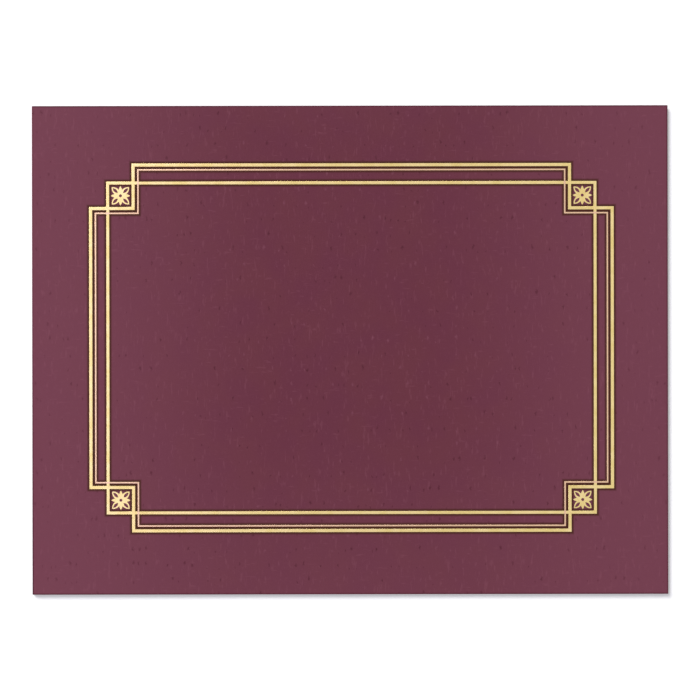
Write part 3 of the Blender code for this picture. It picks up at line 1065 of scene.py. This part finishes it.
dress_panel("back_cover", "back_cover_sheet", "back", (0, 0, -1), PANEL_RIM)
dress_panel("mount_panel", "mount_panel_sheet", "back", (0, 0, 1), PANEL_RIM)

# %% [markdown]
# ## The shape of a corner tab
#
# A half-moon slit leaves a tab that bends up to take a corner of the certificate. A flap of one flat
# face could only turn on a hinge line, which would look like metal. Paper curls, so the tab's mesh
# has rows parallel to its chord, closest together near the chord, where it bends.

# %% A tab as rows of points
PANEL_Z, PANEL_TOP_Z = (corner.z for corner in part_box("mount_panel"))
TAB_CHORD, TAB_BULGE, TAB_SETBACK = 36.0 * MM, 12.0 * MM, 8.0 * MM
TAB_RADIUS = ((TAB_CHORD / 2) ** 2 + TAB_BULGE**2) / (2 * TAB_BULGE)
TAB_ROWS = [-0.04, 0.4, 0.9, 1.5, 2.2, 3.0, 4.0, 5.5, 7.0, 8.5, 9.8, 10.8, 11.5, 11.9]  # mm away
TAB_COLUMNS = 24


def tab_row(away):
    """Where a row's points lie along the chord, closer together towards the slit."""
    half = math.sqrt(TAB_RADIUS**2 - (away + TAB_RADIUS - TAB_BULGE) ** 2)
    steps = [2 * step / TAB_COLUMNS - 1 for step in range(TAB_COLUMNS + 1)]
    return [half * math.sin(math.pi / 2 * step) for step in steps]


def rim_of(grid):
    """The points round a grid's edge, in order."""
    right, left = [row[-1] for row in grid[1:]], [row[0] for row in grid[-2:0:-1]]
    return grid[0] + right + grid[-1][-2::-1] + left


def tab_mesh():
    """A closed sheet one stock thick, from just behind the chord to the furthest point."""
    work = bmesh.new()
    layers = []
    for height in (PANEL_Z, PANEL_TOP_Z):
        rows = [row * MM for row in TAB_ROWS]
        layers.append([[work.verts.new((x, away, height)) for x in tab_row(away)] for away in rows])
    for level, grid in enumerate(layers):
        for near, far in zip(grid, grid[1:]):
            for index in range(TAB_COLUMNS):
                corners = [near[index], near[index + 1], far[index + 1], far[index]]
                work.faces.new(corners if level else corners[::-1])
    low_rim, high_rim = rim_of(layers[0]), rim_of(layers[1])
    for index, low in enumerate(low_rim):
        after = (index + 1) % len(low_rim)
        work.faces.new([low, low_rim[after], high_rim[after], high_rim[index]])
    return work


print("the tab's slit has a radius of", round(1000 * TAB_RADIUS, 2), "mm")

# %% [markdown]
# ## Four tabs
#
# Each tab is turned to face its own corner of the certificate. Riding on its body alone, it would
# swing like a lid. Here it rides on no body, and stays flat at rest.

# %% Place the tabs
CERTIFICATE = (279.4 * MM, 215.9 * MM)


def keep_flat_place(mesh):
    """Stores each point's place at rest, for a material on a piece that bends."""
    kept = mesh.attributes.new(FLAT_PLACE, "FLOAT_VECTOR", "POINT")
    kept.data.foreach_set("vector", [value for vertex in mesh.vertices for value in vertex.co])


for number, (side, rise) in enumerate(CORNERS, 1):
    mesh = finished_mesh(tab_mesh(), f"half_moon_tab_{number}")
    inward = TAB_SETBACK / math.sqrt(2)
    chord = Vector((side * (CERTIFICATE[0] / 2 - inward), rise * (CERTIFICATE[1] / 2 - inward), 0))
    turn = Matrix.Rotation(math.atan2(-rise, -side) - math.pi / 2, 4, "Z")
    mesh.transform(Matrix.Translation(chord) @ turn)
    face_finishes(mesh, BENT_STOCK, (0, 0, 1))
    keep_flat_place(mesh)
    tab = show(mesh.name, mesh, None)
    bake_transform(tab)
    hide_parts(f"corner_tab_{number}")
    low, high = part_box(f"corner_tab_{number}")
    print("tab", number, "CAD centre", [round(1000 * c, 2) for c in (low + high) / 2])

# %% [markdown]
# ## A bend in the sheet
#
# At the free edge the sheet turns round on itself, and at the spine it folds along two creases. All
# three are the same thing: a sector of a ring, swept along the sheet. The ends of a plain sector would
# only touch the panels' rounded rims, and the ground would show through as a hairline. So each end
# has a tongue that runs straight on into the panel, a little inside its faces.

# %% A bent strip
BEND_STEPS = 16
TONGUE, TONGUE_STEP = 0.3 * MM, 0.04 * MM
CUT_FACING = 0.9  # a face that points along Y by more than this is a cut end


def bend_line(axis, radius, first, last, step_in):
    """Points round an axis along Y, with a tongue at each end that runs straight on, a step in."""
    turns = [math.radians(first + (last - first) * step / BEND_STEPS) for step in range(BEND_STEPS + 1)]
    line = [(axis[0] + radius * math.cos(turn), axis[1] + radius * math.sin(turn)) for turn in turns]
    for turn, way, place in ((turns[0], -TONGUE, 0), (turns[-1], TONGUE, len(line) + 1)):
        x = axis[0] + (radius + step_in) * math.cos(turn) - way * math.sin(turn)
        line.insert(place, (x, axis[1] + (radius + step_in) * math.sin(turn) + way * math.cos(turn)))
    return line


def bent_sheet(name, axis, inner, outer, first, last, half_length):
    """A ring sector about an axis along Y, between two angles in degrees from +X towards +Z."""
    work = bmesh.new()
    outline = bend_line(axis, outer, first, last, -TONGUE_STEP)
    outline += bend_line(axis, inner, first, last, TONGUE_STEP)[::-1]
    ends = [[work.verts.new((x, y, z)) for x, z in outline] for y in (-half_length, half_length)]
    count = len(outline)
    for index in range(count):
        after = (index + 1) % count
        work.faces.new([ends[0][index], ends[0][after], ends[1][after], ends[1][index]])
    for section, order in ((ends[0], -1), (ends[1], 1)):
        for step in range(count // 2 - 1):
            back = count - 1 - step
            quad = [section[step], section[step + 1], section[back - 1], section[back]]
            work.faces.new(quad[::order])
    return finished_mesh(work, name)


def bent_finishes(mesh, finishes, axis, middle):
    """Gives a bend's outer face the first finish, its inner face the second, and its ends the third."""
    for finish in finishes:
        mesh.materials.append(finish)
    for face in mesh.polygons:
        away = Vector((face.center.x - axis[0], face.center.z - axis[1]))
        cut = abs(face.normal.y) > CUT_FACING
        face.material_index = 2 if cut else 0 if away.length > middle else 1
        face.use_smooth = not cut

# %% [markdown]
# ## The turned edge
#
# The back cover's free edge is folded right over to become the mount panel. It never opens, so it
# is a rigid half round that rides with the back. It stops a hair short of the panels' cut edges, so
# that no two faces lie in one plane and flicker.

# %% Fold the free edge over
STOCK = 0.45 * MM
SHY = 0.02 * MM
turn_low, turn_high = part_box("turned_edge")
turn_radius = (turn_high.z - turn_low.z) / 2
turn_axis = (turn_high.x - turn_radius, turn_radius)
turn_reach = turn_high.y - SHY
turned = bent_sheet("turned_edge_fold", turn_axis, turn_radius - STOCK, turn_radius, -90, 90, turn_reach)
bent_finishes(turned, PANEL_STOCK, turn_axis, turn_radius - STOCK / 2)
show("turned_edge_fold", turned, "back", ["turned_edge"])

# %% [markdown]
# ## The two creases
#
# A crease is a quarter round that joins two panels, and it closes up as the cover opens. On one body
# alone it would tear away from the other. Here it rides on no body, and stays at rest.

# %% Make the creases
CREASE_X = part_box("spine_strip")[1].x
CREASE_INSIDE = 0.03 * MM  # radius that is left at the inner corner
BLEND_REACH = 1.3  # of the corner's own diagonal
CREASES = (
    ("crease_back", STOCK, 180, 270, "back", "spine"),
    ("crease_front", INSIDE_Z, 90, 180, "spine", "front"),
)
for name, height, first, last, lower, upper in CREASES:
    axis = (CREASE_X, height)
    crease = bent_sheet(name, axis, CREASE_INSIDE, STOCK, first, last, HALF_HEIGHT - SHY)
    bent_finishes(crease, BENT_STOCK, axis, STOCK / 2)
    keep_flat_place(crease)
    rise = 1 if upper == "front" else -1
    middle = Vector((CREASE_X - STOCK / 2, 0, height + rise * STOCK / 2))
    reach = Vector((STOCK / 2, 0, rise * STOCK / 2)) * BLEND_REACH
    ends = (middle - rise * reach, middle + rise * reach)
    piece = show(name, crease, None)
    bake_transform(piece)

# %% [markdown]
# ## The spine
#
# The spine is the narrow strip between the two creases. It could be one bent piece with them, but it
# has its own body, and the back turns on one side of it and the cover on the other. So it is a plain
# panel like the two above, with a smaller round, because it is so narrow.

# %% Dress the spine
SPINE_RIM = 0.03 * MM
dress_panel("spine_strip", "spine_sheet", "spine", (-1, 0, 0), SPINE_RIM)

# %% [markdown]
# ## The shape of the glue
#
# Glue is laid as a bead and pressed flat, so its edges wander. A plain strip would look like tape. A
# tree sweeps a flat profile along a line and lets noise change its width, never past the strip that
# the CAD model gives it.

# %% The tree that presses a bead
GLUE_SPACING = 2 * MM
WANDER_SCALE, WANDER_DETAIL = 90.0, 2.0
BEAD_POINTS = 12


def glue_tree():
    inputs = [
        ("Geometry", GEOMETRY, None),
        ("Width", FLOAT, 5 * MM),
        ("Thickness", FLOAT, 0.2 * MM),
        ("Wander", FLOAT, 0.25),
        ("Finish", MATERIAL, None),
    ]
    tree, start, end = group("pressed_bead", SHAPING, inputs, [("Geometry", GEOMETRY)])
    size = start.outputs
    line = node(tree, "GeometryNodeMeshToCurve", {"Mesh": size["Geometry"]}).outputs[0]
    spaced = {"Curve": line, "Length": GLUE_SPACING}
    fine = node(tree, "GeometryNodeResampleCurve", spaced, mode="LENGTH").outputs[0]
    place = parts_of(tree, position(tree))
    across = calc(tree, "MULTIPLY", place[0], calc(tree, "DIVIDE", size["Width"], 2.0))
    height = calc(tree, "MULTIPLY", place[1], calc(tree, "DIVIDE", size["Thickness"], 2.0))
    point = node(tree, "ShaderNodeCombineXYZ", {0: across, 1: height}).outputs[0]
    profile = shaped_ring(tree, BEAD_POINTS, point)
    level = noise(tree, position(tree), WANDER_SCALE, WANDER_DETAIL)[0]
    share = calc(tree, "SUBTRACT", 1.0, calc(tree, "MULTIPLY", level, size["Wander"]))
    wandering = node(tree, "GeometryNodeSetCurveRadius", {"Curve": fine, "Radius": share}).outputs[0]
    sweep = {"Curve": wandering, "Profile Curve": profile, "Fill Caps": True}
    finish_tree(tree, end, node(tree, "GeometryNodeCurveToMesh", sweep).outputs[0], size["Finish"])
    return tree


GLUE_TREE = glue_tree()
print("pressed bead has", len(GLUE_TREE.nodes), "nodes")

# %% [markdown]
# ## The three glue strips
#
# The mount panel is glued to the back cover along its top, its bottom and the side by the spine. The
# beads could be placed by typed numbers, which would miss the strips after any change of size. Each
# is run along the middle of its CAD strip instead, and takes its width and thickness from that
# strip's box.

# %% Lay the beads
for place in ("top", "bottom", "spine"):
    low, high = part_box(f"glue_strip_{place}")
    middle, size = (low + high) / 2, high - low
    along = 0 if size.x > size.y else 1
    ends = [middle.copy(), middle.copy()]
    ends[0][along], ends[1][along] = low[along], high[along]
    path = bpy.data.meshes.new("bead_path")
    path.from_pydata(ends, [(0, 1)], [])
    values = {"Width": min(size.x, size.y), "Thickness": size.z, "Wander": 0.3, "Finish": GLUE}
    bead = run_tree(GLUE_TREE, path, values)
    print("glue", place, len(bead.polygons), "faces,", closed_body(bead), "open edges")
    show(f"glue_bead_{place}", bead, "back", [f"glue_strip_{place}"])

# %% [markdown]
# ## The white ground
#
# The photograph has a pure white ground with a narrow soft shadow to the right and below. More light
# would bleach the cover, so the ground is made white by its own material: to the camera and to
# reflections it adds a little glow, and the shadow still darkens it.

# %% The floor
GLOW = 0.3
FLOOR_SEEN, FLOOR_LIT = (0.95, 0.95, 0.95), (0.75, 0.75, 0.75)
FLOOR_REACH, FLOOR_DROP = 3.0, 0.02 * MM


def seen_directly(tree):
    """1 for rays from the camera, and for those that a reflection or glass sends on."""
    path = node(tree, "ShaderNodeLightPath").outputs
    mirrored = calc(tree, "MAXIMUM", path["Is Glossy Ray"], path["Is Transmission Ray"])
    return calc(tree, "MAXIMUM", path["Is Camera Ray"], mirrored)


def make_floor():
    made = bpy.data.materials.new("white_ground")
    made.use_nodes = True
    tree = made.node_tree
    shader = tree.nodes["Principled BSDF"]
    shader.inputs["Roughness"].default_value = 0.9
    shader.inputs["Specular IOR Level"].default_value = 0.1
    shader.inputs["Emission Color"].default_value = (1, 1, 1, 1)
    seen = seen_directly(tree)
    tree.links.new(mix(tree, seen, FLOOR_LIT, FLOOR_SEEN), shader.inputs["Base Color"])
    tree.links.new(calc(tree, "MULTIPLY", seen, GLOW), shader.inputs["Emission Strength"])
    mesh = bpy.data.meshes.new("floor")
    points = [(side * FLOOR_REACH, rise * FLOOR_REACH, -FLOOR_DROP) for side, rise in CORNERS]
    mesh.from_pydata(points, [], [(0, 1, 2, 3)])
    mesh.materials.append(made)
    floor = placed("floor", mesh)


make_floor()
print("the ground glows by", GLOW, "to the camera and in reflections")

# %% [markdown]
# ## The world beyond the ground
#
# Views from the side look past the ground. A world that is bright enough to be white there would light
# the folder from all sides and wash out its relief. So it is white only to the camera and to
# reflections, and lights the folder at a fifth of that.

# %% The world
WORLD_LIGHT = 0.2


def make_world():
    world = bpy.data.worlds.new("studio")
    world.use_nodes = True
    bpy.context.scene.world = world
    tree = world.node_tree
    background = tree.nodes["Background"]
    strength = remap(tree, seen_directly(tree), 0.0, 1.0, WORLD_LIGHT, 1.0)
    tree.links.new(strength, background.inputs["Strength"])
    background.inputs["Color"].default_value = (1, 1, 1, 1)


make_world()
print("the world is white to the camera, and lights the folder at", WORLD_LIGHT)

# %% [markdown]
# ## The light
#
# The photograph's shadow is short and soft and lies to the lower right, so its lamp was large, far
# off and to the upper left. A near lamp would light one side of the cover more than the other. Two
# faint strips hang beside the camera's line of sight, where the flat foil mirrors them: they give the
# gold its gleam, cooler and stronger at the left, and the matt stock hardly shows them.


# %% Place the lamps
def softbox(name, place, size, watts, colour=(1.0, 1.0, 1.0)):
    """A rectangular lamp that faces the middle of the cover. The first size runs along Y."""
    lamp = bpy.data.lights.new(name, "AREA")
    lamp.shape = "RECTANGLE"
    lamp.size, lamp.size_y = size
    lamp.energy = watts
    lamp.color = colour
    made = placed(name, lamp)
    made.location = place
    made.rotation_euler = (-Vector(place)).to_track_quat("-Z", "Y").to_euler()
    made.visible_camera = False


softbox("key_light", (-4.3, 5.3, 6.24), (4.7, 4.7), 762.0)
softbox("left_strip", (-0.36, 0.0, 1.2), (1.4, 0.12), 1.8, (0.97, 0.94, 1.4))
softbox("right_strip", (0.36, 0.0, 1.2), (1.4, 0.12), 0.6)
bpy.context.scene.view_settings.view_transform = "Standard"
print("lamps:", [lamp.name for lamp in bpy.data.lights])
